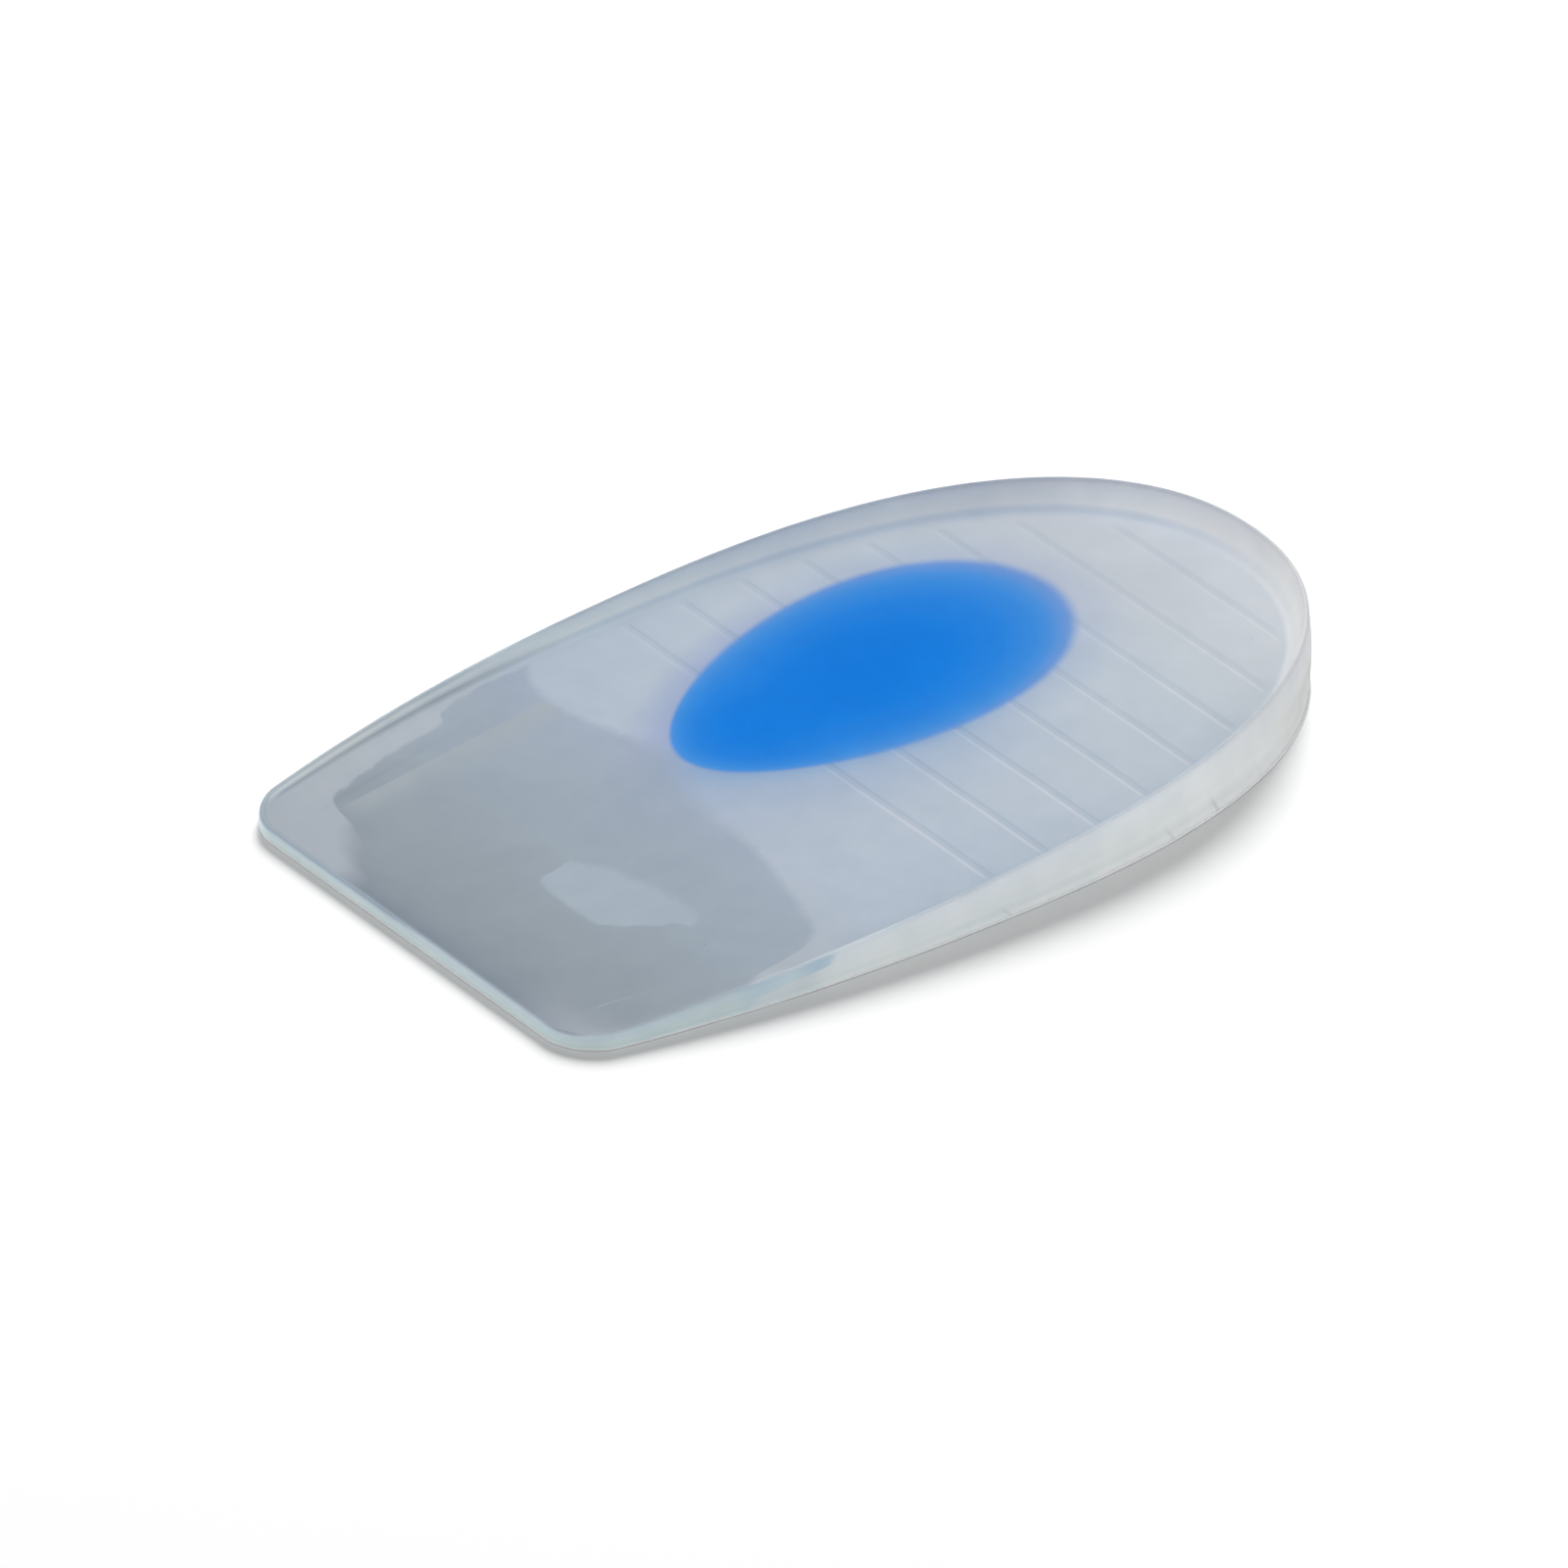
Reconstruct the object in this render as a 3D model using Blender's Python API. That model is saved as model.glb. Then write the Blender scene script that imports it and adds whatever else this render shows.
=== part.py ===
"""Silicone heel cup for a left shoe, lying flat: a milky gel wedge with a low rim round the heel and a
softer blue gel spot set into its underside. Metres, +Z up, +Y towards the back of the heel, +X the outer
side of the foot. The origin is on the table, under the middle of the cup."""

import math

import bmesh
import bpy
from mathutils import Matrix

# Plan of the cup. Stations run from 0 at the front edge to CUP_LENGTH at the back of the heel.
CUP_LENGTH = 0.1053
CUP_WIDTH = 0.0659
WIDEST_SHARE = 0.432  # of the length, where the sides are widest
OUTER_SIDE_TAPER = 0.0048  # how far each side comes in at the front edge
INNER_SIDE_TAPER = 0.0060
CORNER_RADIUS = 0.005
HEEL_POWER_ALONG = 2.65  # the heel is a superellipse, a little squarer than an ellipse
HEEL_POWER_ACROSS = 2.13

# Heights. The rim climbs in a straight line from the front edge to the back of the heel.
FRONT_THICKNESS = 0.0015
HEEL_RIM_HEIGHT = 0.0092
FRONT_RIM_RISE = 0.0001  # from the floor up to the rim
HEEL_RIM_RISE = 0.0038
EDGE_RADIUS = 0.0004  # along the top of the rim
RIM_RUN = 0.0026  # from the outer wall in to the flat floor
RIM_HOLLOW_POWER = 2.6  # how hollow the inner side of the rim is
WALL_BULGE_SHARE = 0.03  # of the wall's height, how far its top and foot stand in from its middle

# Blue spot, an egg with its broad end towards the heel, turned and set off to the inner side.
SPOT_LENGTH = 0.0461
SPOT_WIDTH = 0.0271
SPOT_STATION_SHARE = 0.599  # of the cup's length
SPOT_OFFSET_SHARE = 0.130  # of the cup's width, towards the inner side
SPOT_TURN = math.radians(4.0)
SPOT_EGG_SHARE = 0.18  # share by which the broad end is wider than the middle
SPOT_COVER = 0.0010  # milky gel left over the spot, with the clearance in it
SPOT_RECESS = 0.0003  # of its flat face above the underside
SPOT_CLEARANCE = 0.0003

# Straight grip grooves across the underside, laid off from the back of the heel.
GROOVE_WIDTH = 0.0008
GROOVE_DEPTH = 0.00035
GROOVE_PITCH = 0.00703
GROOVE_HEEL_MARGIN = 0.0044
GROOVE_FRONT_SHARE = 0.47  # of the length, none further forward than this
GROOVE_SIDE_MARGIN = 0.002

# Dome of the blue spot, from its flat face up over the side to the crown.
# Columns: share of the radius, share of the height.
DOME = [
    (1.00, 0.00),
    (1.00, 0.34),
    (0.95, 0.56),
    (0.86, 0.76),
    (0.70, 0.90),
    (0.45, 0.98),
    (0.20, 1.00),
]

# Segments
FRONT_STEPS = 5
CORNER_STEPS = 5
SIDE_STEPS = 9
HEEL_STEPS = 15
WALL_STEPS = 4
EDGE_STEPS = 3
HOLLOW_STEPS = 6
SPOT_STEPS = 48

MIDDLE_STATION = CUP_LENGTH / 2


def half_width(station, taper):
    """Distance from the cup's middle line to its side."""
    widest = CUP_LENGTH * WIDEST_SHARE
    if station < widest:
        return CUP_WIDTH / 2 - taper * ((widest - station) / widest) ** 2
    along = (station - widest) / (CUP_LENGTH - widest)
    return CUP_WIDTH / 2 * (1 - along**HEEL_POWER_ALONG) ** (1 / HEEL_POWER_ACROSS)


def side_outline(taper):
    """One side of the plan as (x, station), from the middle of the front edge round to the heel's back."""
    widest = CUP_LENGTH * WIDEST_SHARE
    corner_start = half_width(0, taper) - CORNER_RADIUS
    points = [(corner_start * k / FRONT_STEPS, 0.0) for k in range(FRONT_STEPS)]
    for k in range(CORNER_STEPS + 1):
        turn = math.pi / 2 * k / CORNER_STEPS
        station = CORNER_RADIUS * (1 - math.cos(turn))
        points.append((half_width(station, taper) - CORNER_RADIUS * (1 - math.sin(turn)), station))
    for k in range(1, SIDE_STEPS + 1):
        station = CORNER_RADIUS + (widest - CORNER_RADIUS) * k / SIDE_STEPS
        points.append((half_width(station, taper), station))
    for k in range(1, HEEL_STEPS + 1):
        turn = math.pi / 2 * k / HEEL_STEPS
        station = widest + (CUP_LENGTH - widest) * math.sin(turn) ** (2 / HEEL_POWER_ALONG)
        across = max(math.cos(turn), 0.0) ** (2 / HEEL_POWER_ACROSS)
        points.append((CUP_WIDTH / 2 * across, station))
    points[-1] = (0.0, CUP_LENGTH)
    return points


def outline():
    """The whole plan, anticlockwise from above, as (x, y, outward x, outward y)."""
    outer_side = side_outline(OUTER_SIDE_TAPER)
    inner_side = [(-x, station) for x, station in side_outline(INNER_SIDE_TAPER)]
    plan = outer_side + inner_side[-2:0:-1]
    points = []
    for k, (x, station) in enumerate(plan):
        before, after = plan[k - 1], plan[(k + 1) % len(plan)]
        run_x, run_y = after[0] - before[0], after[1] - before[1]
        length = math.hypot(run_x, run_y)
        points.append((x, station - MIDDLE_STATION, run_y / length, -run_x / length))
    return points


def along_cup(y):
    return (y + MIDDLE_STATION) / CUP_LENGTH


def rim_height(y):
    return FRONT_THICKNESS + (HEEL_RIM_HEIGHT - FRONT_THICKNESS) * along_cup(y)


def rim_rise(y):
    return FRONT_RIM_RISE + (HEEL_RIM_RISE - FRONT_RIM_RISE) * along_cup(y)


def floor_height(y):
    return rim_height(y) - rim_rise(y)


def loft(name, rings, material):
    """A closed body through rings of equally many points, bottom ring first, each anticlockwise."""
    bm = bmesh.new()
    loops = [[bm.verts.new(point) for point in ring] for ring in rings]
    for low, high in zip(loops, loops[1:]):
        for k in range(len(low)):
            after = (k + 1) % len(low)
            bm.faces.new((low[k], low[after], high[after], high[k]))
    bm.faces.new(list(reversed(loops[0])))
    bm.faces.new(loops[-1])
    mesh = bpy.data.meshes.new(name)
    bm.to_mesh(mesh)
    bm.free()
    mesh.materials.append(material)
    mesh.shade_smooth()
    mesh.set_sharp_from_angle(angle=math.radians(40))
    return bpy.data.objects.new(name, mesh)


def cup_rings():
    """Rings of the gel wedge: up the outer wall, over the rim's edge and down its hollow to the floor."""
    plan = outline()

    def ring(run, swell, height):
        points = []
        for x, y, out_x, out_y in plan:
            inwards = run + (1 - swell) * WALL_BULGE_SHARE * rim_height(y)
            points.append((x - out_x * inwards, y - out_y * inwards, height(y)))
        return points

    rings = []
    for k in range(WALL_STEPS + 1):
        share = k / WALL_STEPS
        swell = math.sin(math.pi * share)
        rings.append(ring(0.0, swell, lambda y: share * (rim_height(y) - EDGE_RADIUS)))
    for k in range(1, EDGE_STEPS + 1):
        turn = math.pi / 2 * k / EDGE_STEPS
        run = EDGE_RADIUS * (1 - math.cos(turn))
        drop = EDGE_RADIUS * (1 - math.sin(turn))
        rings.append(ring(run, 0.0, lambda y: rim_height(y) - drop))
    for k in range(1, HOLLOW_STEPS + 1):
        share = k / HOLLOW_STEPS
        run = EDGE_RADIUS + (RIM_RUN - EDGE_RADIUS) * share
        left = (1 - share) ** RIM_HOLLOW_POWER
        rings.append(ring(run, 0.0, lambda y: floor_height(y) + rim_rise(y) * left))
    return rings


def spot_rings(grow, bottom):
    """Rings of the blue spot, or of its pocket where it is grown by a clearance."""
    middle_x = -CUP_WIDTH * SPOT_OFFSET_SHARE
    middle_y = CUP_LENGTH * SPOT_STATION_SHARE - MIDDLE_STATION
    cosine, sine = math.cos(SPOT_TURN), math.sin(SPOT_TURN)
    rings = []
    for radius_share, height_share in DOME:
        ring = []
        for k in range(SPOT_STEPS):
            turn = 2 * math.pi * k / SPOT_STEPS
            half_across = SPOT_WIDTH / 2 * (1 + SPOT_EGG_SHARE * math.sin(turn)) + grow
            across = half_across * math.cos(turn) * radius_share
            along = (SPOT_LENGTH / 2 + grow) * math.sin(turn) * radius_share
            x = middle_x + across * cosine - along * sine
            y = middle_y + across * sine + along * cosine
            crown = floor_height(y) - SPOT_COVER + grow
            z = bottom if height_share == 0 else SPOT_RECESS + (crown - SPOT_RECESS) * height_share
            ring.append((x, y, z))
        rings.append(ring)
    return rings


def groove_cutter():
    """One box for each grip groove, as wide as the underside is there."""
    bm = bmesh.new()
    station = CUP_LENGTH - GROOVE_HEEL_MARGIN
    while station > CUP_LENGTH * GROOVE_FRONT_SHARE:
        outer_end = half_width(station, OUTER_SIDE_TAPER) - GROOVE_SIDE_MARGIN
        inner_end = half_width(station, INNER_SIDE_TAPER) - GROOVE_SIDE_MARGIN
        middle = ((outer_end - inner_end) / 2, station - MIDDLE_STATION, 0.0)
        size = (outer_end + inner_end, GROOVE_WIDTH, 2 * GROOVE_DEPTH, 1.0)
        place = Matrix.Translation(middle) @ Matrix.Diagonal(size)
        bmesh.ops.create_cube(bm, size=1.0, matrix=place)
        station -= GROOVE_PITCH
    mesh = bpy.data.meshes.new("groove_cutter")
    bm.to_mesh(mesh)
    bm.free()
    return bpy.data.objects.new("groove_cutter", mesh)


def gel(name, colour, roughness):
    material = bpy.data.materials.new(name)
    material.use_nodes = True
    shader = material.node_tree.nodes["Principled BSDF"]
    shader.inputs["Base Color"].default_value = (*colour, 1.0)
    shader.inputs["Roughness"].default_value = roughness
    shader.inputs["Metallic"].default_value = 0.0
    return material


def cut(body, cutter):
    step = body.modifiers.new(cutter.name, "BOOLEAN")
    step.operation = "DIFFERENCE"
    step.solver = "EXACT"
    step.object = cutter
    cutter.hide_render = True
    cutter.display_type = "WIRE"


for old in list(bpy.data.objects):
    bpy.data.objects.remove(old)

parts = bpy.data.collections.new("heel_cup")
cutters = bpy.data.collections.new("heel_cup_cutters")
bpy.context.scene.collection.children.link(parts)
bpy.context.scene.collection.children.link(cutters)

milky_gel = gel("milky_gel", (0.52, 0.59, 0.65), 0.42)
blue_gel = gel("blue_gel", (0.01, 0.19, 0.70), 0.40)

cup_body = loft("cup_body", cup_rings(), milky_gel)
soft_spot = loft("soft_spot", spot_rings(0.0, SPOT_RECESS), blue_gel)
pocket_cutter = loft("pocket_cutter", spot_rings(SPOT_CLEARANCE, -SPOT_COVER), milky_gel)
grooves = groove_cutter()
for piece in (cup_body, soft_spot):
    parts.objects.link(piece)
for cutter in (pocket_cutter, grooves):
    cutters.objects.link(cutter)
cut(cup_body, pocket_cutter)
cut(cup_body, grooves)
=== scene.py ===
import math

import bpy
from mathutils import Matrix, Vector


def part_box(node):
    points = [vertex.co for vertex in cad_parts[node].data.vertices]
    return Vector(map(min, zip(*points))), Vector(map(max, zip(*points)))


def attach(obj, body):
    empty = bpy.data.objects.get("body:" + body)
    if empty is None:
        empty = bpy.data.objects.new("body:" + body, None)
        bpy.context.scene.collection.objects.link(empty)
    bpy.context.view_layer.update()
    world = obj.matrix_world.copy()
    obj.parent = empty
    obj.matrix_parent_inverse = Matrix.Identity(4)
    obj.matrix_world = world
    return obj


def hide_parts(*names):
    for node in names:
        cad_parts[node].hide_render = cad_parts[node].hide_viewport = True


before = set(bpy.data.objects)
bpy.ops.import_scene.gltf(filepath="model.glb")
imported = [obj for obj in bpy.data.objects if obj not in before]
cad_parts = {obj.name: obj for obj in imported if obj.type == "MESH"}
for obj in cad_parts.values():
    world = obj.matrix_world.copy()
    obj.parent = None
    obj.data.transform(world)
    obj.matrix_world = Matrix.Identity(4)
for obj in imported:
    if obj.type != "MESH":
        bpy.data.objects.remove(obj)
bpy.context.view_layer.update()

# Milky gel wedge
# One casting of slightly milky silicone gel: a thin front edge, a flat floor that climbs towards the heel and
# a low rim round it. Its underside has shallow grip grooves and the pocket that the blue gel is poured into.
MM = 0.001
cup_low, cup_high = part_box("cup_body")
cup_length = cup_high.y - cup_low.y
cup_width = cup_high.x - cup_low.x
heel_rim_height = cup_high.z
widest_station = 0.432 * cup_length
outer_side_taper = 4.8 * MM
inner_side_taper = 6.0 * MM
corner_radius = 5.0 * MM
heel_power_along = 2.65
heel_power_across = 2.13
front_thickness = 1.5 * MM
front_rim_rise = 0.1 * MM
heel_rim_rise = 3.8 * MM
rim_edge_radius = 0.4 * MM
rim_run = 2.6 * MM
rim_hollow_power = 2.6
wall_bulge_share = 0.03
mould_line_height = 0.16 * MM
foot_margin = 3.0 * MM
spot_length = 46.1 * MM
spot_width = 27.1 * MM
spot_middle_x = -0.130 * cup_width
spot_middle_y = cup_low.y + 0.599 * cup_length
spot_plan_turn = math.radians(4)
spot_broadening = 0.18
spot_side_share = 0.34
spot_dome_power = 2.4
spot_cover = 1.0 * MM
spot_recess = 0.3 * MM
spot_clearance = 0.3 * MM
groove_width = 0.8 * MM
groove_depth = 0.35 * MM
groove_spacing = 7.03 * MM
groove_heel_margin = 4.4 * MM
groove_front_share = 0.47
groove_side_margin = 2.0 * MM


def cup_side(taper, side, front_steps=14, corner_steps=12, side_steps=34, heel_steps=64):
    """One side of the plan as (x, y), from the middle of the front edge round to the back of the heel."""

    def half_width(station):
        return cup_width / 2 - taper * ((widest_station - station) / widest_station) ** 2

    corner_start = half_width(0) - corner_radius
    points = [(corner_start * k / front_steps, 0.0) for k in range(front_steps)]
    for k in range(corner_steps + 1):
        turn = math.pi / 2 * k / corner_steps
        station = corner_radius * (1 - math.cos(turn))
        points.append((half_width(station) - corner_radius * (1 - math.sin(turn)), station))
    for k in range(1, side_steps + 1):
        station = corner_radius + (widest_station - corner_radius) * k / side_steps
        points.append((half_width(station), station))
    for k in range(1, heel_steps + 1):
        turn = math.pi / 2 * k / heel_steps
        along = math.sin(turn) ** (2 / heel_power_along)
        across = max(math.cos(turn), 0.0) ** (2 / heel_power_across)
        points.append((cup_width / 2 * across, widest_station + (cup_length - widest_station) * along))
    points[-1] = (0.0, cup_length)
    return [(side * x, station + cup_low.y) for x, station in points]


def rim_height(y):
    return front_thickness + (heel_rim_height - front_thickness) * (y - cup_low.y) / cup_length


def floor_height(y):
    rise = front_rim_rise + (heel_rim_rise - front_rim_rise) * (y - cup_low.y) / cup_length
    return rim_height(y) - rise


plan = cup_side(outer_side_taper, 1) + cup_side(inner_side_taper, -1)[-2:0:-1]
plan_outwards = []
for k in range(len(plan)):
    run = Vector(plan[(k + 1) % len(plan)]) - Vector(plan[k - 1])
    plan_outwards.append(Vector((run.y, -run.x)).normalized())

# The section's rows, from the underside up over the rim and in to the floor. Each has its girth, a run in
# from the plan, a share of the wall's bulge, and a height. Girth grows along the section, from 0 on the
# underside over 1 on the crest to 2 where the floor begins, and the material reads it.
wall_foot_girth, wall_top_girth = 0.04, 0.90
wall_rows, crest_rows, hollow_rows, floor_rows = 10, 6, 20, 4
section = [(0.0, 0.0, 0, lambda y: 0.0), (wall_foot_girth / 2, 0.0, 0, lambda y: mould_line_height)]


def wall_height(y, share):
    return 1.5 * mould_line_height * (1 - share) + share * (rim_height(y) - rim_edge_radius)


for k in range(wall_rows + 1):
    share = k / wall_rows
    section.append((
        wall_foot_girth + (wall_top_girth - wall_foot_girth) * share, 0.0, 1 - math.sin(math.pi * share),
        lambda y, share=share: wall_height(y, share),
    ))
for k in range(1, crest_rows + 1):
    turn = math.pi / 2 * k / crest_rows
    section.append((
        wall_top_girth + (1 - wall_top_girth) * k / crest_rows, rim_edge_radius * (1 - math.cos(turn)), 1,
        lambda y, turn=turn: rim_height(y) - rim_edge_radius * (1 - math.sin(turn)),
    ))
for k in range(1, hollow_rows + 1):
    share = k / hollow_rows
    left = (1 - share) ** rim_hollow_power
    section.append((
        1 + share, rim_edge_radius + (rim_run - rim_edge_radius) * share, 1,
        lambda y, left=left: floor_height(y) + left * (rim_height(y) - floor_height(y)),
    ))
for k in range(1, floor_rows + 1):
    section.append((2 + k / floor_rows, rim_run + foot_margin * k / floor_rows, 1, floor_height))

bpy.ops.object.select_all(action="DESELECT")
bpy.ops.mesh.primitive_circle_add(vertices=len(plan), radius=cup_width / 2, fill_type="NOTHING")
cup = bpy.context.object
cup.name = cup.data.name = "cup_gel"
girths = []
for row, (girth, run, bulge, height) in enumerate(section):
    if row:
        bpy.ops.object.mode_set(mode="EDIT")
        bpy.ops.mesh.extrude_region_move(TRANSFORM_OT_translate={"value": (0, 0, rim_edge_radius)})
        bpy.ops.object.mode_set(mode="OBJECT")
    for vertex, (x, y), out in zip(cup.data.vertices[-len(plan):], plan, plan_outwards):
        inwards = run + bulge * wall_bulge_share * rim_height(y)
        vertex.co = (x - out.x * inwards, y - out.y * inwards, height(y))
        girths.append(girth)
bpy.ops.object.mode_set(mode="EDIT")
bpy.ops.mesh.edge_face_add()
bpy.ops.mesh.select_all(action="DESELECT")
bpy.ops.mesh.select_non_manifold()
bpy.ops.mesh.edge_face_add()
bpy.ops.mesh.select_all(action="SELECT")
bpy.ops.mesh.normals_make_consistent(inside=False)
bpy.ops.object.mode_set(mode="OBJECT")
cup.data.attributes.new("girth", "FLOAT", "POINT").data.foreach_set("value", girths)


def spot_form(name, base, grow=0.0, turns=96, rows=16):
    """The egg-shaped dome of the blue gel, or of its pocket where it grows by a clearance."""
    shape = [(share, base(share)) for share in (0.25, 0.5, 0.75, 0.9, 0.97, 1.0)]
    base_rows = len(shape)
    for k in range(rows):
        lean = math.pi / 2 * k / rows
        dome_reach = math.cos(lean) ** (2 / spot_dome_power)
        dome_rise = math.sin(lean) ** (2 / spot_dome_power)
        shape.append((dome_reach, spot_side_share + (1 - spot_side_share) * dome_rise))
    bpy.ops.object.select_all(action="DESELECT")
    bpy.ops.mesh.primitive_circle_add(vertices=turns, radius=spot_width / 8, fill_type="NOTHING")
    form = bpy.context.object
    form.name = form.data.name = name
    for row, (reach, height) in enumerate(shape):
        if row:
            bpy.ops.object.mode_set(mode="EDIT")
            bpy.ops.mesh.extrude_region_move(TRANSFORM_OT_translate={"value": (0, 0, spot_recess)})
            bpy.ops.object.mode_set(mode="OBJECT")
        for k, vertex in enumerate(form.data.vertices[-turns:]):
            turn = 2 * math.pi * k / turns
            across = (spot_width / 2 * (1 + spot_broadening * math.sin(turn)) + grow) * math.cos(turn) * reach
            along = (spot_length / 2 + grow) * math.sin(turn) * reach
            x = spot_middle_x + across * math.cos(spot_plan_turn) - along * math.sin(spot_plan_turn)
            y = spot_middle_y + across * math.sin(spot_plan_turn) + along * math.cos(spot_plan_turn)
            crown = floor_height(y) - spot_cover + grow
            vertex.co = (x, y, height if row < base_rows else spot_recess + (crown - spot_recess) * height)
    bpy.ops.object.mode_set(mode="EDIT")
    bpy.ops.mesh.edge_face_add()
    bpy.ops.mesh.select_all(action="DESELECT")
    bpy.ops.mesh.select_non_manifold()
    bpy.ops.mesh.edge_face_add()
    bpy.ops.mesh.select_all(action="SELECT")
    bpy.ops.mesh.normals_make_consistent(inside=False)
    bpy.ops.object.mode_set(mode="OBJECT")
    return form


def cut_from_cup(cutter):
    """Cuts a form out of the cup and deletes it. The cut's own faces get the underside's girth, 0."""
    cutter.data.attributes.new("girth", "FLOAT", "POINT")
    step = cup.modifiers.new(cutter.name, "BOOLEAN")
    step.operation = "DIFFERENCE"
    step.solver = "EXACT"
    step.object = cutter
    bpy.ops.object.select_all(action="DESELECT")
    bpy.context.view_layer.objects.active = cup
    bpy.ops.object.modifier_apply(modifier=step.name)
    bpy.data.objects.remove(cutter)


cut_from_cup(spot_form("pocket", lambda share: -spot_cover, grow=spot_clearance))

# Straight round-bottomed grip grooves across the underside, laid off from the back of the heel. The outer
# side of the foot is where x is above 0.
groove_sides = 28
groove_end_bevel = 0.25 * MM
plan_reading = 1.2 * MM
groove_radius = (groove_width ** 2 / 4 + groove_depth ** 2) / (2 * groove_depth)
groove_station = cup_length - groove_heel_margin
while groove_station > groove_front_share * cup_length:
    plan_here = [x for x, y in plan if abs(y - cup_low.y - groove_station) < plan_reading]
    outer_plan = [x for x in plan_here if x > 0]
    inner_plan = [x for x in plan_here if x < 0]
    outer_end = sum(outer_plan) / len(outer_plan) - groove_side_margin
    inner_end = sum(inner_plan) / len(inner_plan) + groove_side_margin
    bpy.ops.object.select_all(action="DESELECT")
    bpy.ops.mesh.primitive_cylinder_add(
        vertices=groove_sides, radius=groove_radius, depth=outer_end - inner_end,
        rotation=(0, math.pi / 2, 0),
        location=((inner_end + outer_end) / 2, cup_low.y + groove_station, groove_depth - groove_radius))
    bpy.ops.object.mode_set(mode="EDIT")
    bpy.ops.mesh.select_mode(type="FACE")
    bpy.ops.mesh.select_all(action="DESELECT")
    bpy.ops.mesh.select_face_by_sides(number=groove_sides)
    bpy.ops.mesh.bevel(offset=groove_end_bevel, segments=4, affect="EDGES")
    bpy.ops.mesh.select_mode(type="VERT")
    bpy.ops.object.mode_set(mode="OBJECT")
    bpy.ops.object.transform_apply(location=True, rotation=True, scale=True)
    bpy.context.object.name = "groove"
    cut_from_cup(bpy.context.object)
    groove_station -= groove_spacing

# The cuts can leave other girths round the pocket, so the underside's is set there once more
pocket_reach = 0.575
for vertex, mark in zip(cup.data.vertices, cup.data.attributes["girth"].data):
    across_share = (vertex.co.x - spot_middle_x) / spot_width
    along_share = (vertex.co.y - spot_middle_y) / spot_length
    if math.hypot(across_share, along_share) < pocket_reach:
        mark.value = 0.0
cup.select_set(True)


# The gel's look is laid up with nodes. Colours are linear, and places on the gel are in millimetres: across
# the cup, in stations from its front edge, and in levels above the table.
def node(tree, kind, **settings):
    made = tree.nodes.new(kind)
    for name, value in settings.items():
        setattr(made, name, value)
    return made


def feed(tree, socket, value):
    if isinstance(value, bpy.types.NodeSocket):
        tree.links.new(value, socket)
    else:
        socket.default_value = value


def maths(tree, operation, *values, clamp=False):
    made = node(tree, "ShaderNodeMath", operation=operation, use_clamp=clamp)
    for socket, value in zip(made.inputs, values):
        feed(tree, socket, value)
    return made.outputs[0]


def fade(tree, value, start, end, low=0.0, high=1.0):
    """Goes smoothly from low to high as the value goes from start to end."""
    made = node(tree, "ShaderNodeMapRange", interpolation_type="SMOOTHSTEP")
    if not isinstance(start, bpy.types.NodeSocket) and start > end:
        start, end, low, high = end, start, high, low
    for socket, given in zip(made.inputs, (value, start, end, low, high)):
        feed(tree, socket, given)
    return made.outputs[0]


def product(tree, *values):
    result = values[0]
    for value in values[1:]:
        result = maths(tree, "MULTIPLY", result, value)
    return result


def minus(tree, value, taken):
    return maths(tree, "SUBTRACT", value, taken)


def off(tree, value, middle):
    """How far the value lies from the middle, on either side."""
    return maths(tree, "ABSOLUTE", minus(tree, value, middle))


def colours_along(tree, value, stops):
    """A colour that follows the value through (value, colour) stops."""
    first, last = stops[0][0], stops[-1][0]
    share = maths(tree, "DIVIDE", minus(tree, value, first), last - first)
    ramp = node(tree, "ShaderNodeValToRGB")
    marks = ramp.color_ramp.elements
    marks[0].color = (*stops[0][1], 1)
    marks[1].color = (*stops[-1][1], 1)
    for at, colour in stops[1:-1]:
        marks.new((at - first) / (last - first)).color = (*colour, 1)
    feed(tree, ramp.inputs[0], share)
    return ramp.outputs["Color"]


def follow(tree, value, points):
    """A number that follows the value through (value, number) points."""
    (low, high), (least, most) = [(min(side), max(side)) for side in zip(*points)]
    made = node(tree, "ShaderNodeFloatCurve")
    line = made.mapping.curves[0]
    places = [((a - low) / (high - low), (b - least) / (most - least)) for a, b in points]
    line.points[0].location, line.points[1].location = places[0], places[-1]
    for place in places[1:-1]:
        line.points.new(*place)
    for point in line.points:
        point.handle_type = "AUTO_CLAMPED"
    made.mapping.update()
    share = maths(tree, "DIVIDE", minus(tree, value, low), high - low, clamp=True)
    feed(tree, made.inputs["Value"], share)
    return maths(tree, "MULTIPLY_ADD", made.outputs[0], most - least, least)


def lay_over(tree, share, under, over, how="MIX"):
    made = node(tree, "ShaderNodeMix", data_type="RGBA", blend_type=how)
    feed(tree, made.inputs["Factor"], share)
    for socket, colour in ((made.inputs[6], under), (made.inputs[7], over)):
        feed(tree, socket, colour if isinstance(colour, bpy.types.NodeSocket) else (*colour, 1))
    return made.outputs[2]


def tint(tree, share, under, colour):
    """Multiplies what lies under it by this colour, as far as the share goes."""
    return lay_over(tree, share, under, colour, how="MULTIPLY")


def noise(tree, vector, size, detail=2.0):
    """Noise with features of about this size, in the vector's own unit."""
    made = node(tree, "ShaderNodeTexNoise")
    feed(tree, made.inputs["Vector"], vector)
    made.inputs["Scale"].default_value = 1 / size
    made.inputs["Detail"].default_value = detail
    return made


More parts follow.
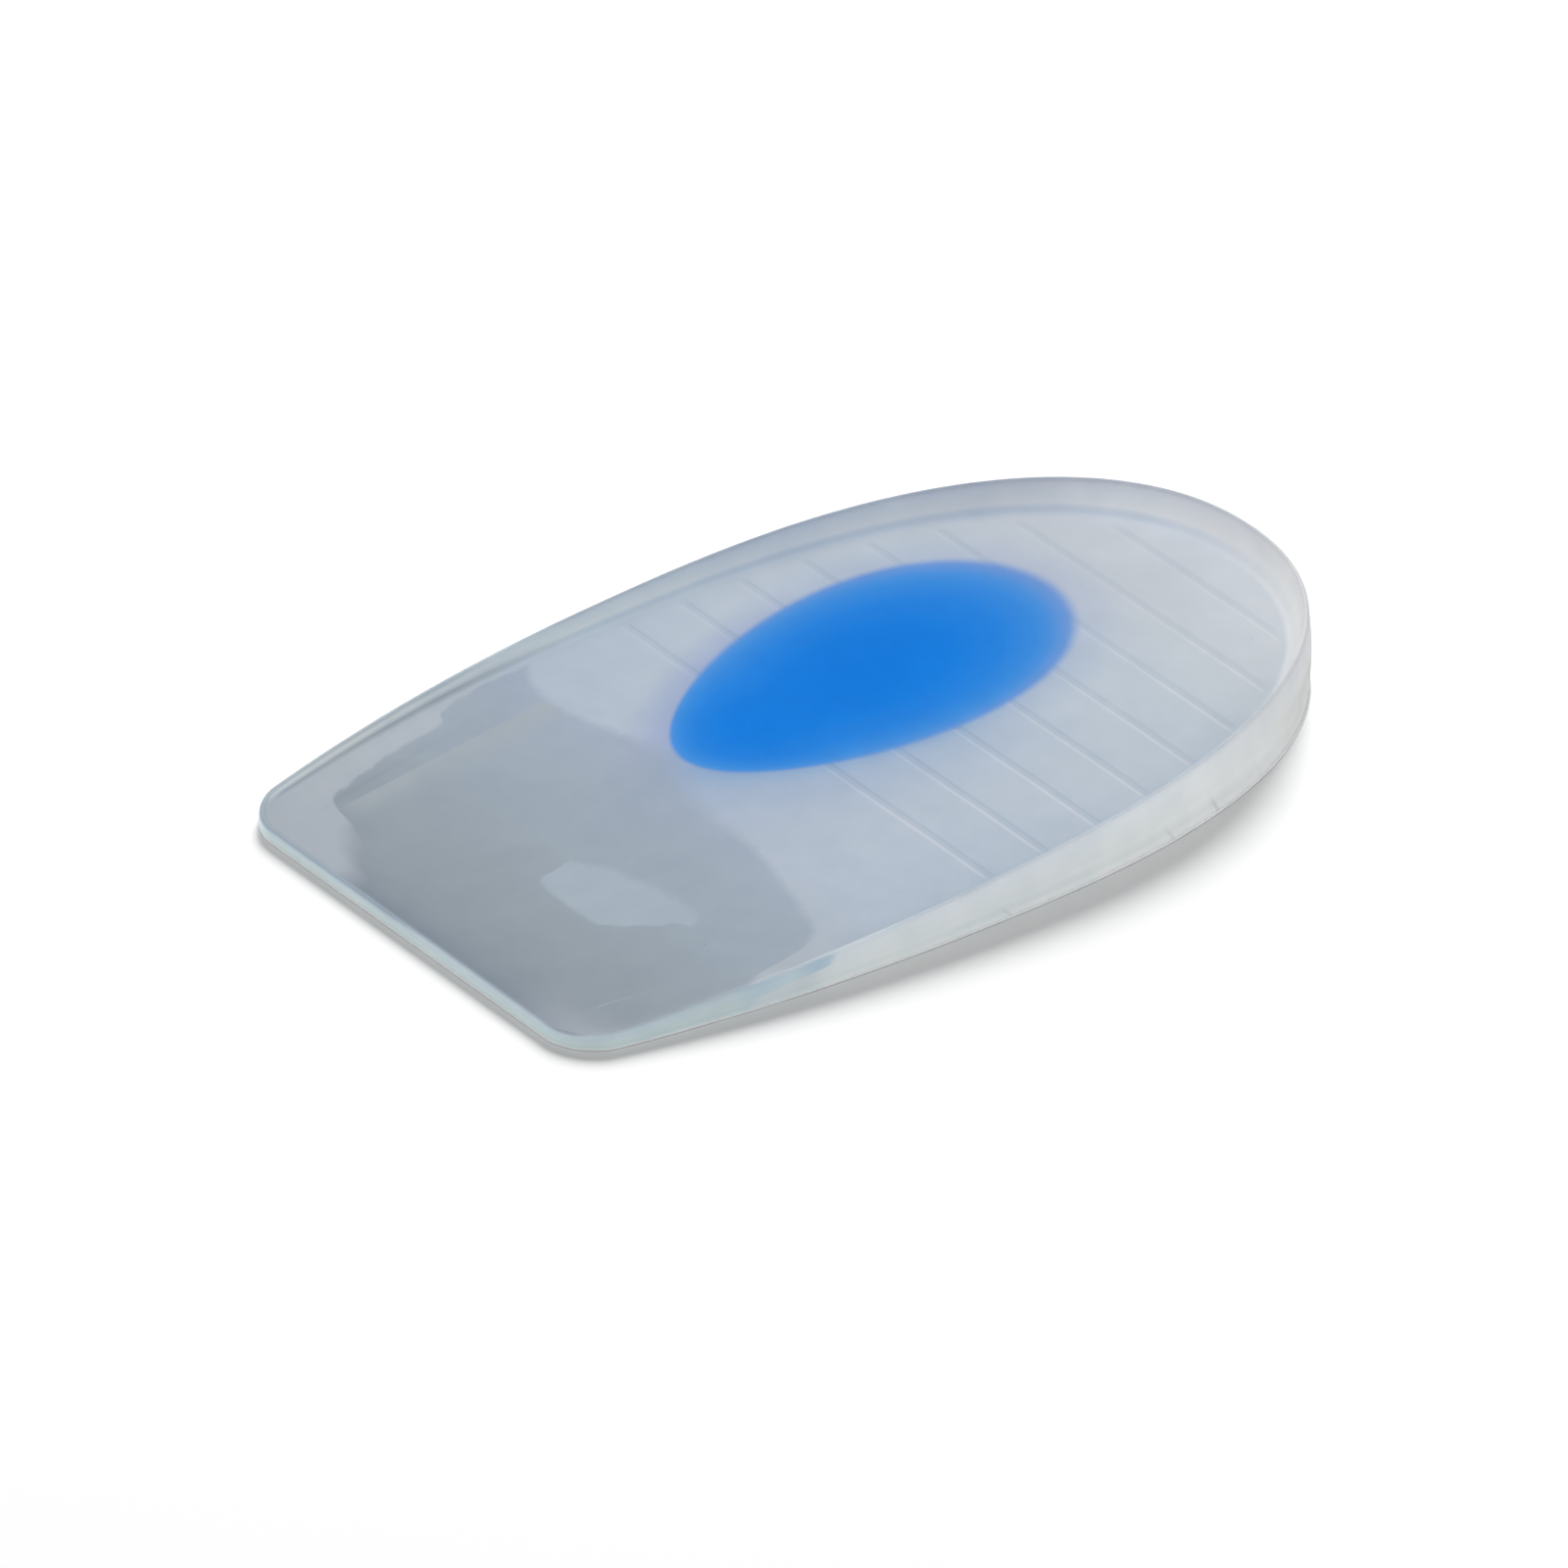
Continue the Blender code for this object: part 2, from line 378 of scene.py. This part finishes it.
milky = bpy.data.materials.new("milky_gel")
milky.use_nodes = True
tree = milky.node_tree
in_mm = node(tree, "ShaderNodeMapping")
feed(tree, in_mm.inputs["Vector"], node(tree, "ShaderNodeTexCoord").outputs["Object"])
in_mm.inputs["Location"].default_value = (0, -cup_low.y / MM, 0)
in_mm.inputs["Scale"].default_value = (1 / MM, 1 / MM, 1 / MM)
in_mm = in_mm.outputs[0]
axes = node(tree, "ShaderNodeSeparateXYZ")
feed(tree, axes.inputs[0], in_mm)
across, station, level = axes.outputs
girth = node(tree, "ShaderNodeAttribute", attribute_name="girth").outputs["Fac"]

# Nothing that shows through from below is painted on the underside itself
above_underside = fade(tree, level, 0.2, 0.6)

# Ragged copies of the two places, for edges that wander by up to 0.8 mm
ragged_span = 1.6
ragged_noise = noise(tree, in_mm, 2.2, 5.0)
ragged_noise.inputs["Roughness"].default_value = 0.64
ragged = node(tree, "ShaderNodeSeparateColor")
feed(tree, ragged.inputs[0], ragged_noise.outputs["Color"])
ragged_across = maths(tree, "MULTIPLY_ADD", minus(tree, ragged.outputs[0], 0.5), ragged_span, across)
ragged_station = maths(tree, "MULTIPLY_ADD", minus(tree, ragged.outputs[1], 0.5), ragged_span, station)

# Dry gel, from the front to the heel
dry = colours_along(tree, station, [
    (0, (0.375, 0.412, 0.458)),
    (10, (0.388, 0.425, 0.470)),
    (25, (0.405, 0.450, 0.500)),
    (36, (0.42, 0.478, 0.56)),
    (52, (0.44, 0.50, 0.58)),
    (80, (0.48, 0.54, 0.60)),
    (92, (0.53, 0.57, 0.61)),
    (105.3, (0.59, 0.62, 0.66)),
])

# Wet patch, where the thin front lies tight on what is under it and looks darker
wet_colour = colours_along(tree, station, [
    (0, (0.205, 0.240, 0.292)),
    (2.5, (0.248, 0.288, 0.330)),
    (6, (0.275, 0.315, 0.350)),
    (14, (0.295, 0.340, 0.385)),
    (21, (0.315, 0.368, 0.423)),
    (29, (0.332, 0.386, 0.450)),
    (36, (0.342, 0.398, 0.484)),
])
wet_heel_edge = follow(tree, across, [
    (-34, 38.0), (-30, 37.2), (-27, 35.7), (-23, 35.3), (-19, 35.8), (-14, 37.2), (-9, 38.2), (-5, 37.3),
    (0, 35.6), (6, 35.0), (13, 34.3), (19, 32.6), (25, 31.0), (27.5, 28.8), (28.6, 25.0), (29.2, 21.0),
    (34, 17.0),
])
wet_inner_edge = follow(tree, station, [
    (0, -9.5), (2, -10.5), (3.2, -13.0), (4.5, -15.0), (6, -16.6), (7.2, -18.6), (7.8, -21.6), (8.7, -23.0),
    (11, -23.9), (15, -25.2), (20, -26.2), (24.5, -27.0), (26, -28.6), (30, -29.8), (39, -30.1),
])
inner_softness = fade(tree, station, 5, 8.5, 4.5, 0.5)
heel_softness = fade(tree, off(tree, across, -2.0), 4, 14, 3.0, 1.1)
past_inner_edge = maths(tree, "DIVIDE", minus(tree, ragged_across, wet_inner_edge), inner_softness)
before_heel_edge = maths(tree, "DIVIDE", minus(tree, wet_heel_edge, ragged_station), heel_softness)
wet_from_side = maths(tree, "ADD", past_inner_edge, 0.5, clamp=True)
wet_from_heel = maths(tree, "ADD", before_heel_edge, 0.5, clamp=True)
front_corner = product(tree, fade(tree, across, 14, 30), fade(tree, station, 7, 1.5))
wet = product(tree, wet_from_side, wet_from_heel, maths(tree, "MULTIPLY_ADD", front_corner, -0.8, 1.0))

# An air bubble with a flat front side is shut in under the wet patch
bubble_front = follow(tree, ragged_across, [
    (-4, 20.5), (0.5, 20.0), (1.4, 16.6), (2.4, 15.0), (4.5, 14.7), (11.3, 14.8), (13, 16.0), (15.2, 18.4),
    (18.6, 21.6), (24, 21.6),
])
bubble_back = follow(tree, ragged_across, [
    (-4, 19.6), (0.5, 19.8), (3, 21.4), (7, 22.8), (13, 23.9), (16.5, 23.7), (18.6, 21.5), (24, 19.0),
])
less_ragged_station = maths(tree, "MULTIPLY_ADD", ragged_station, 0.5, product(tree, station, 0.5))
bubble = product(tree, fade(tree, minus(tree, less_ragged_station, bubble_front), -0.35, 0.55),
                 fade(tree, minus(tree, bubble_back, ragged_station), -0.5, 1.3))

# A faint straight band runs along the patch's inner side
from_band = maths(tree, "ADD", across, maths(tree, "MULTIPLY_ADD", station, 0.1, 20.4))
band = product(tree, fade(tree, from_band, -0.15, 0.15), fade(tree, from_band, 4.5, 0.0), wet_from_heel,
               fade(tree, station, 7, 11))
wet_toned = lay_over(tree, product(tree, band, 0.6), wet_colour, (0.375, 0.415, 0.440))
wet_toned = lay_over(tree, product(tree, bubble, 0.66), wet_toned, (0.385, 0.455, 0.520))
floor = lay_over(tree, wet, dry, wet_toned)

# Grip grooves of the underside, seen through the gel: a soft dark line of painted shade, a faint band and a
# thin light line of painted highlight. They lie deep in it, so they show a little nearer to the front than
# they are.
seen_pitch = 6.93
seen_heel_groove = 98.3
seen_light_line = 0.88
from_groove = minus(tree, seen_heel_groove, station)
from_groove = maths(tree, "WRAP", from_groove, seen_pitch / 2, -seen_pitch / 2)
groove_shade_line = fade(tree, maths(tree, "ABSOLUTE", from_groove), 0.30, 0.04)
groove_band = product(tree, fade(tree, from_groove, -0.1, 0.12), fade(tree, from_groove, 0.95, 0.6))
groove_highlight_line = fade(tree, off(tree, from_groove, seen_light_line), 0.32, 0.05)
in_grooves = product(tree, fade(tree, station, 46.5, 47.5), fade(tree, station, 102, 101),
                     fade(tree, girth, 1.95, 2.4), above_underside)
groove_shade_line = product(tree, groove_shade_line, in_grooves, fade(tree, station, 96, 55, 0.08, 0.18))
groove_highlight_line = product(tree, groove_highlight_line, in_grooves, fade(tree, across, -12, 24, 0.08, 0.22))
floor = lay_over(tree, groove_shade_line, floor, (0.16, 0.25, 0.37))
floor = lay_over(tree, product(tree, groove_band, in_grooves, 0.09), floor, (0.20, 0.27, 0.38))
floor = lay_over(tree, groove_highlight_line, floor, (0.82, 0.81, 0.81))

# Blue gel, seen through its milky cover. u runs across the egg and v along it, and reach is 1 at its outline.
spot_across, spot_station, spot_turn = -7.85, 62.54, math.radians(4.28)
spot_half_width, spot_half_length, spot_egg = 13.82, 23.29, 0.182
spot_x = minus(tree, across, spot_across)
spot_y = minus(tree, station, spot_station)
turn_cos, turn_sin = math.cos(spot_turn), math.sin(spot_turn)
turned_x = maths(tree, "ADD", product(tree, spot_x, turn_cos), product(tree, spot_y, turn_sin))
turned_y = minus(tree, product(tree, spot_y, turn_cos), product(tree, spot_x, turn_sin))
spot_v = maths(tree, "DIVIDE", turned_y, spot_half_length)
half_width_here = maths(tree, "MULTIPLY_ADD", spot_v, spot_egg * spot_half_width, spot_half_width)
spot_u = maths(tree, "DIVIDE", turned_x, half_width_here)
reach_squared = maths(tree, "ADD", product(tree, spot_u, spot_u), product(tree, spot_v, spot_v))
halo_reach = maths(tree, "SQRT", reach_squared)
edge_sharpness = maths(tree, "MULTIPLY_ADD", fade(tree, spot_v, -0.35, -0.95), 1.3, 1.0)
spot_reach = maths(tree, "MULTIPLY_ADD", minus(tree, halo_reach, 1.0), edge_sharpness, 1.0)

# Its blue spreads in the milky gel round it, widest on the outer side and lavender on the inner side, and less
# over the wet patch
halo_side = minus(tree, product(tree, spot_u, 0.94), product(tree, spot_v, 0.34))
off_wet = maths(tree, "MULTIPLY_ADD", wet, -0.7, 1.0)
outer_halo = product(tree, fade(tree, halo_side, -0.1, 0.8), fade(tree, spot_v, 0.5, -0.2, 0.2, 1.0), off_wet)
inner_halo = product(tree, fade(tree, halo_reach, 1.35, 1.0), fade(tree, spot_v, 0.3, -0.5, 0.5, 0.9),
                     off_wet, minus(tree, 1.0, outer_halo))
floor = tint(tree, outer_halo, floor, colours_along(tree, halo_reach, [
    (1.0, (0.50, 0.70, 0.98)),
    (1.05, (0.62, 0.78, 0.98)),
    (1.12, (0.74, 0.85, 0.985)),
    (1.2, (0.81, 0.88, 0.98)),
    (1.35, (0.87, 0.91, 0.985)),
    (1.55, (0.94, 0.965, 1.0)),
    (1.85, (1.0, 1.0, 1.0)),
]))
floor = tint(tree, inner_halo, floor, (0.74, 0.79, 0.97))
spot_colour = colours_along(tree, maths(tree, "MULTIPLY_ADD", spot_v, 0.05, spot_reach), [
    (0.0, (0.003, 0.179, 0.665)),
    (0.45, (0.006, 0.190, 0.665)),
    (0.7, (0.017, 0.211, 0.668)),
    (0.86, (0.038, 0.240, 0.670)),
    (0.95, (0.070, 0.268, 0.660)),
    (1.05, (0.158, 0.300, 0.620)),
])
spot_seen = product(tree, fade(tree, spot_reach, 1.065, 0.985), above_underside)
floor = lay_over(tree, spot_seen, floor, spot_colour)

# Hollow inner side of the rim, with painted light and shade across its curve: a lighter band down its slope
# and a soft dark line of painted shade in the crease at its foot
rim = colours_along(tree, station, [
    (0, (0.50, 0.56, 0.60)),
    (14, (0.55, 0.59, 0.60)),
    (27, (0.53, 0.59, 0.62)),
    (42, (0.585, 0.65, 0.69)),
    (55, (0.575, 0.635, 0.69)),
    (70, (0.56, 0.62, 0.69)),
    (90, (0.62, 0.66, 0.71)),
    (105.3, (0.76, 0.78, 0.80)),
])
# Painted light and shade across the hollow, towards the front and towards the heel
front_hollow_shading = colours_along(tree, girth, [
    (1.0, (0.95, 0.96, 0.97)),
    (1.2, (1.0, 1.0, 1.0)),
    (1.31, (0.82, 0.84, 0.87)),
    (1.40, (0.58, 0.60, 0.66)),
    (1.50, (0.62, 0.65, 0.70)),
    (1.62, (0.72, 0.74, 0.78)),
    (1.78, (0.86, 0.88, 0.91)),
    (2.0, (0.95, 0.95, 0.96)),
])
heel_hollow_shading = colours_along(tree, girth, [
    (1.0, (0.56, 0.58, 0.62)),
    (1.06, (0.84, 0.85, 0.87)),
    (1.12, (0.91, 0.92, 0.93)),
    (1.2, (0.94, 0.95, 0.94)),
    (1.37, (0.98, 0.97, 0.96)),
    (1.46, (0.80, 0.85, 0.90)),
    (1.55, (0.76, 0.81, 0.87)),
    (1.7, (0.82, 0.86, 0.91)),
    (2.0, (0.90, 0.93, 0.95)),
])
rim = tint(tree, 1.0, rim, lay_over(tree, fade(tree, station, 26, 46), front_hollow_shading, heel_hollow_shading))
# Painted light on the rim's hollow round the heel's outer side
heel_rim_painted_light = colours_along(tree, girth, [
    (1.0, (0.60, 0.60, 0.61)),
    (1.07, (0.70, 0.70, 0.70)),
    (1.3, (0.75, 0.76, 0.76)),
    (1.5, (0.70, 0.72, 0.73)),
    (2.0, (0.71, 0.73, 0.76)),
])
outer_heel = product(tree, fade(tree, station, 84, 99), fade(tree, across, -16, 14))
rim = lay_over(tree, outer_heel, rim, heel_rim_painted_light)
rim_foot = follow(tree, station, [(0, 1.2), (2.5, 1.25), (7, 1.8), (30, 1.9), (60, 2.0), (106, 2.0)])
wet_rim = product(tree, fade(tree, across, 22, 26), fade(tree, station, 34, 22))
dry_rim = product(tree, fade(tree, girth, minus(tree, rim_foot, 0.35), rim_foot, 1.0, 0.0),
                  minus(tree, 1.0, wet_rim))
inside = lay_over(tree, dry_rim, floor, rim)
# Painted shade over the hollow and floor on the inner side towards the heel
inner_heel_shade = product(tree, fade(tree, station, 78, 91), fade(tree, across, 12, -6))
inside = tint(tree, inner_heel_shade, inside, (0.945, 0.945, 0.96))

# Upright outer wall, whiter behind the wet patch, with nicks, painted shade low round the heel, painted light
# and shade up its height, and a painted highlight on the mould line's lip along its foot
wall_girths = wall_top_girth - wall_foot_girth
wall_share = maths(tree, "MULTIPLY_ADD", girth, 1 / wall_girths, -wall_foot_girth / wall_girths, clamp=True)
wall = colours_along(tree, station, [
    (0, (0.67, 0.72, 0.73)),
    (60, (0.69, 0.73, 0.74)),
    (74, (0.70, 0.73, 0.735)),
    (88, (0.635, 0.655, 0.66)),
    (105.3, (0.60, 0.61, 0.61)),
])
damp_wall = product(tree, fade(tree, station, 29, 25), fade(tree, wall_share, 0.9, 0.6))
wall = lay_over(tree, damp_wall, wall, (0.57, 0.63, 0.66))
# Painted shade on the lower wall round the heel
heel_wall_shade = product(tree, fade(tree, station, 84, 99), fade(tree, wall_share, 0.8, 0.4))
wall = lay_over(tree, heel_wall_shade, wall, (0.47, 0.48, 0.48))
wet_wall = colours_along(tree, station, [
    (0, (0.56, 0.65, 0.67)),
    (17, (0.52, 0.61, 0.63)),
    (20, (0.48, 0.59, 0.645)),
    (23.5, (0.53, 0.63, 0.66)),
    (26.3, (0.445, 0.565, 0.63)),
    (29, (0.50, 0.59, 0.65)),
])
wet_wall_end = follow(tree, wall_share, [
    (0, 19.2), (0.45, 19.7), (0.6, 22.0), (0.68, 25.6), (0.76, 27.7), (1.0, 28.4),
])
wet_on_wall = fade(tree, minus(tree, wet_wall_end, ragged_station), -0.8, 0.7)
wall = lay_over(tree, wet_on_wall, wall, wet_wall)
nick_lean = maths(tree, "MULTIPLY_ADD", wall_share, 4.2, station)
for nick_station, nick_strength in ((49.65, 0.32), (71.05, 0.30), (77.85, 0.48), (85.35, 0.16)):
    nick = product(tree, fade(tree, off(tree, nick_lean, nick_station), 0.42, 0.05),
                   fade(tree, wall_share, 0.48, 0.08), fade(tree, across, 0, 1), nick_strength)
    wall = lay_over(tree, nick, wall, (0.40, 0.47, 0.49))
# Painted light and shade up the wall: painted light towards its foot, where the contact shade falls, and
# painted shade just under the crest
wall = tint(tree, 1.0, wall, colours_along(tree, girth, [
    (0.05, (1.34, 1.34, 1.32)),
    (0.126, (1.25, 1.25, 1.24)),
    (0.212, (1.13, 1.13, 1.12)),
    (0.298, (1.11, 1.11, 1.10)),
    (0.384, (1.11, 1.11, 1.10)),
    (0.47, (1.06, 1.06, 1.05)),
    (0.6, (1.03, 1.03, 1.03)),
    (0.728, (0.99, 0.99, 1.01)),
    (0.86, (0.95, 0.96, 0.99)),
    (0.90, (0.89, 0.90, 0.93)),
    (0.95, (0.76, 0.77, 0.81)),
]))
# A light line painted along the foot: a painted highlight on the mould line's lip
mould_line_highlight = fade(tree, girth, 0.05, 0.03)
wall = lay_over(tree, mould_line_highlight, wall, (0.96, 0.97, 0.97))

# Wall, rim and floor put together, with a painted highlight on the outer side's crest and painted shade on the
# inner side's crest and along the front edge
skin = lay_over(tree, fade(tree, girth, 0.92, 1.0), wall, inside)
outer_crest_highlight = product(tree, fade(tree, girth, 0.93, 0.96), fade(tree, girth, 1.06, 1.0),
                      fade(tree, station, 35, 60), fade(tree, station, 97, 88), fade(tree, across, -4, 6))
skin = tint(tree, outer_crest_highlight, skin, (1.14, 1.13, 1.10))
inner_crest_shade = product(tree, fade(tree, girth, 0.91, 0.95), fade(tree, girth, 1.0, 0.96),
                      fade(tree, across, 4, -4), fade(tree, station, 105, 86))
skin = tint(tree, inner_crest_shade, skin, (0.70, 0.74, 0.79))
front_end = fade(tree, station, 2.4, 1.2)
front_inner_side = product(tree, fade(tree, across, 4, -4), fade(tree, station, 36, 28))
front_crest_shade = product(tree, fade(tree, girth, 0.93, 0.99), fade(tree, girth, 1.2, 1.04),
                      maths(tree, "MAXIMUM", front_end, front_inner_side))
skin = tint(tree, front_crest_shade, skin, (0.77, 0.79, 0.82))
on_underside = fade(tree, girth, 0.005, 0.001)
skin = lay_over(tree, on_underside, skin, floor)

# Cloudiness, dust specks and a satin grain
cloud = noise(tree, in_mm, 14, 3.0).outputs["Fac"]
skin = tint(tree, 1.0, skin, colours_along(tree, cloud, [
    (0.3, (0.965, 0.968, 0.972)),
    (0.7, (1.0, 1.0, 1.0)),
]))
mottle = noise(tree, in_mm, 3.2, 4.0).outputs["Fac"]
skin = tint(tree, 1.0, skin, colours_along(tree, mottle, [
    (0.3, (0.965, 0.97, 0.975)),
    (0.7, (1.02, 1.015, 1.01)),
]))
dust_spacing = 3.125
dust = node(tree, "ShaderNodeTexVoronoi")
feed(tree, dust.inputs["Vector"], in_mm)
dust.inputs["Scale"].default_value = 1 / dust_spacing
dust_pick = node(tree, "ShaderNodeSeparateColor")
feed(tree, dust_pick.inputs[0], dust.outputs["Color"])
speck = fade(tree, dust.outputs["Distance"], 0.045, 0.02)
speck = product(tree, speck, fade(tree, dust_pick.outputs[0], 0.80, 0.84), 0.45)
skin = lay_over(tree, speck, skin, (0.16, 0.17, 0.20))

silicone_ior = 1.41
shader = tree.nodes["Principled BSDF"]
feed(tree, shader.inputs["Base Color"], skin)
feed(tree, shader.inputs["Roughness"], fade(tree, cloud, 0.3, 0.7, 0.40, 0.50))
shader.inputs["IOR"].default_value = silicone_ior
shader.inputs["Specular IOR Level"].default_value = 0.10
shader.inputs["Subsurface Weight"].default_value = 1.0
shader.inputs["Subsurface Radius"].default_value = (1.0, 0.95, 0.9)
shader.inputs["Subsurface Scale"].default_value = 0.9 * MM
bump = node(tree, "ShaderNodeBump")
bump.inputs["Strength"].default_value = 0.25
bump.inputs["Distance"].default_value = 0.02 * MM
feed(tree, bump.inputs["Height"], noise(tree, in_mm, 0.35, 3.0).outputs["Fac"])
feed(tree, shader.inputs["Normal"], bump.outputs[0])

sharpest_smooth_angle = math.radians(50)
cup.data.materials.append(milky)
bpy.ops.object.shade_smooth_by_angle(angle=sharpest_smooth_angle)
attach(cup, "root")
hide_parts("cup_body")

# Blue soft spot
# A softer blue silicone gel, poured into the pocket of the underside while the cup lies upside down. It fills
# the pocket nearly to its brim, and its free face has settled in a shallow hollow with a rounded edge.
poured_hollow = 0.12 * MM
spot = spot_form("soft_spot_gel", lambda share: spot_recess + poured_hollow * (1 - share ** 6))

blue = bpy.data.materials.new("blue_gel")
blue.use_nodes = True
tree = blue.node_tree
blue_mm = node(tree, "ShaderNodeMapping")
feed(tree, blue_mm.inputs["Vector"], node(tree, "ShaderNodeTexCoord").outputs["Object"])
blue_mm.inputs["Scale"].default_value = (1 / MM, 1 / MM, 1 / MM)
blue_mm = blue_mm.outputs[0]
swirl = noise(tree, blue_mm, 9, 3.0)
swirl.inputs["Distortion"].default_value = 0.8
swirl = swirl.outputs["Fac"]
blue_colour = colours_along(tree, swirl, [
    (0.3, (0.004, 0.125, 0.560)),
    (0.5, (0.006, 0.150, 0.620)),
    (0.7, (0.016, 0.185, 0.660)),
])
air = node(tree, "ShaderNodeTexVoronoi")
feed(tree, air.inputs["Vector"], blue_mm)
air.inputs["Scale"].default_value = 0.55
air_pick = node(tree, "ShaderNodeSeparateColor")
feed(tree, air_pick.inputs[0], air.outputs["Color"])
air_dot = fade(tree, air.outputs["Distance"], 0.16, 0.08)
air_dot = product(tree, air_dot, fade(tree, air_pick.outputs[0], 0.72, 0.78))
blue_colour = lay_over(tree, product(tree, air_dot, 0.35), blue_colour, (0.05, 0.27, 0.75))
blue_shader = tree.nodes["Principled BSDF"]
feed(tree, blue_shader.inputs["Base Color"], blue_colour)
feed(tree, blue_shader.inputs["Roughness"], fade(tree, swirl, 0.3, 0.7, 0.34, 0.46))
blue_shader.inputs["IOR"].default_value = silicone_ior
blue_shader.inputs["Specular IOR Level"].default_value = 0.3
blue_shader.inputs["Subsurface Weight"].default_value = 0.6
blue_shader.inputs["Subsurface Radius"].default_value = (0.3, 0.6, 1.0)
blue_shader.inputs["Subsurface Scale"].default_value = 1.5 * MM
skin_bump = node(tree, "ShaderNodeBump")
skin_bump.inputs["Strength"].default_value = 0.3
skin_bump.inputs["Distance"].default_value = 0.03 * MM
satin = noise(tree, blue_mm, 0.6, 3.0).outputs["Fac"]
feed(tree, skin_bump.inputs["Height"], maths(tree, "ADD", satin, air_dot))
feed(tree, blue_shader.inputs["Normal"], skin_bump.outputs[0])

spot.data.materials.append(blue)
bpy.ops.object.shade_smooth_by_angle(angle=sharpest_smooth_angle)
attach(spot, "root")
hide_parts("soft_spot")

# Pale table, window light and camera
# The cup lies on a white table, in the light of a window behind its inner side, which throws its shadow past
# its outer side. The table has that light to itself, so that it stays white, and the gel has softer light.
bpy.ops.mesh.primitive_plane_add(size=6, location=(0, 0, 0))
table = bpy.context.object
table.name = "table"
pale = bpy.data.materials.new("pale_table")
pale.use_nodes = True
pale_shader = pale.node_tree.nodes["Principled BSDF"]
pale_shader.inputs["Base Color"].default_value = (0.93, 0.93, 0.93, 1)
pale_shader.inputs["Roughness"].default_value = 0.9
pale_shader.inputs["Specular IOR Level"].default_value = 0.0
table.data.materials.append(pale)

scene = bpy.context.scene
scene.view_settings.view_transform = "Standard"
scene.world = bpy.data.worlds.new("studio")
scene.world.use_nodes = True
scene.world.node_tree.nodes["Background"].inputs["Color"].default_value = (1, 1, 1, 1)
scene.world.node_tree.nodes["Background"].inputs["Strength"].default_value = 0.30


def direction(azimuth, elevation):
    """Unit vector from the cup, with azimuth 0 in front of it and growing anticlockwise from above."""
    a, e = math.radians(azimuth), math.radians(elevation)
    return Vector((math.sin(a) * math.cos(e), -math.cos(a) * math.cos(e), math.sin(e)))


def soft_light(name, azimuth, elevation, size, energy, reaches, away=1.0, glare=True, shadow=True):
    """A disk of light that reaches only these objects, with size and energy given as for one metre away."""
    towards = direction(azimuth, elevation)
    bpy.ops.object.light_add(type="AREA", location=towards * away)
    light = bpy.context.object
    light.name = name
    light.data.shape = "DISK"
    light.data.size = size * away
    light.data.energy = energy * away ** 2
    light.data.use_shadow = shadow
    light.visible_glossy = glare
    light.rotation_euler = (-towards).to_track_quat("-Z", "Y").to_euler()
    light.light_linking.receiver_collection = bpy.data.collections.new(name + "_reach")
    for lit in reaches:
        light.light_linking.receiver_collection.objects.link(lit)


camera_azimuth, camera_elevation, camera_distance = 52.94, 31.52, 2.2265
aim = Vector((-0.47, -5.67, 0.0)) * MM
bpy.ops.object.camera_add(location=aim + direction(camera_azimuth, camera_elevation) * camera_distance)
camera = bpy.context.object
camera.rotation_euler = (-direction(camera_azimuth, camera_elevation)).to_track_quat("-Z", "Y").to_euler()
camera.data.sensor_width = 36
camera.data.lens = 518.8
camera.data.clip_end = 10
scene.camera = camera

soft_light("table_key", camera_azimuth - 190, 32, 0.50, 14.9, [table], away=3.0)
soft_light("table_fill", camera_azimuth, 84, 1.2, 1.3, [table], away=2.0, shadow=False)
soft_light("overhead", camera_azimuth, 82, 1.2, 7.0, [cup, spot], glare=False)
soft_light("rear_fill", camera_azimuth - 176, 30, 0.6, 1.2, [cup, spot], glare=False)
soft_light("left_fill", -40, 24, 0.6, 3.2, [cup, spot])
soft_light("side_fill", 85, 24, 0.6, 2.6, [cup, spot])
